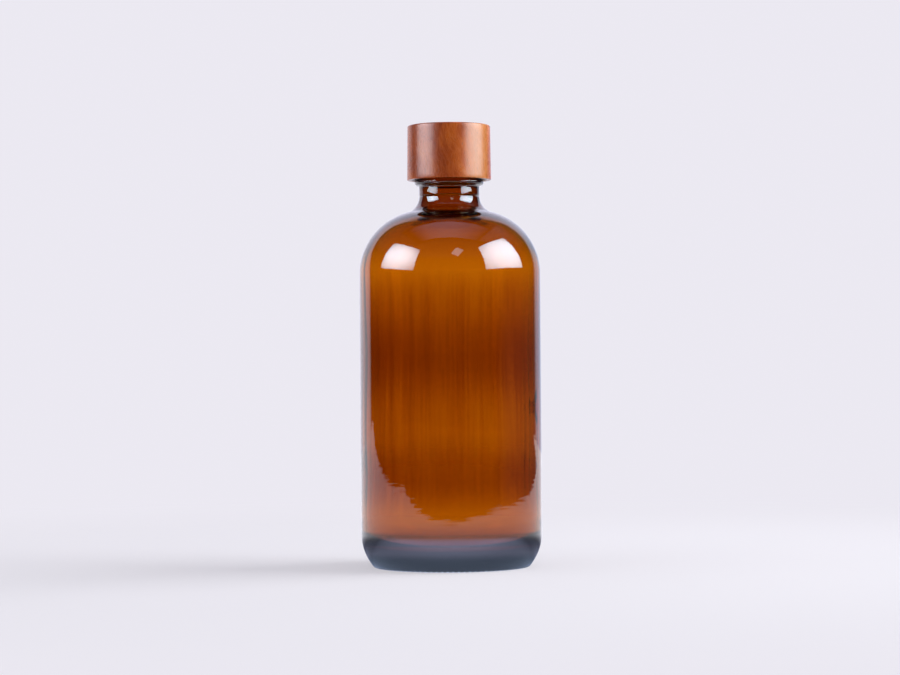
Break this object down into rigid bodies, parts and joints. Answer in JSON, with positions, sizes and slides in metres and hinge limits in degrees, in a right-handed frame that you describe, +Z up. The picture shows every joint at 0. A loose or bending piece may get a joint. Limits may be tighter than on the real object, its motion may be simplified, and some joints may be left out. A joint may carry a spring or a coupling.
{
  "type": "aftershave bottle",
  "caption": "Amber glass splash bottle with a round shoulder, a short threaded neck, a push-in pour reducer and a turned wooden screw cap that holds a threaded insert and a sealing liner.",
  "frame": {"origin": "on the bottle's axis, in the plane that its bearing ring stands on", "axes": "+Z up along the bottle's axis, +X to the right and +Y away from the viewer in the front view"},
  "size_m": [0.075, 0.075, 0.1829],
  "materials": {
    "amber_glass": "clear, fire polished",
    "natural_polyethylene": "translucent white, moulded",
    "liner_film": "smooth film",
    "liner_foam": "fine closed-cell foam",
    "black_polypropylene": "fine moulded texture",
    "cured_adhesive": "cured, amber",
    "satin_hardwood": "turned, oiled satin"
  },
  "bodies": {
    "bottle": {"glass_bottle": "amber_glass", "orifice_reducer": "natural_polyethylene"},
    "seal": {"liner_face_film": "liner_film", "liner_foam_core": "liner_foam", "liner_back_film": "liner_film"},
    "cap": {"threaded_insert": "black_polypropylene", "adhesive_layer": "cured_adhesive", "cap_shell": "satin_hardwood"}
  },
  "joints": [
    {"name": "cap_lift", "type": "slide", "parent": "bottle", "child": "seal", "axis": [0, 0, 1], "range_m": [0, 0.0127]},
    {"name": "cap_turn", "type": "hinge", "parent": "seal", "child": "cap", "pos_m": [0, 0, 0.1654], "axis": [0, 0, 1], "range_deg": [0, 1080]}
  ],
  "couplings": [
    {"joint": "cap_lift", "follows": "cap_turn", "m_per_rad": 0.00067375}
  ]
}
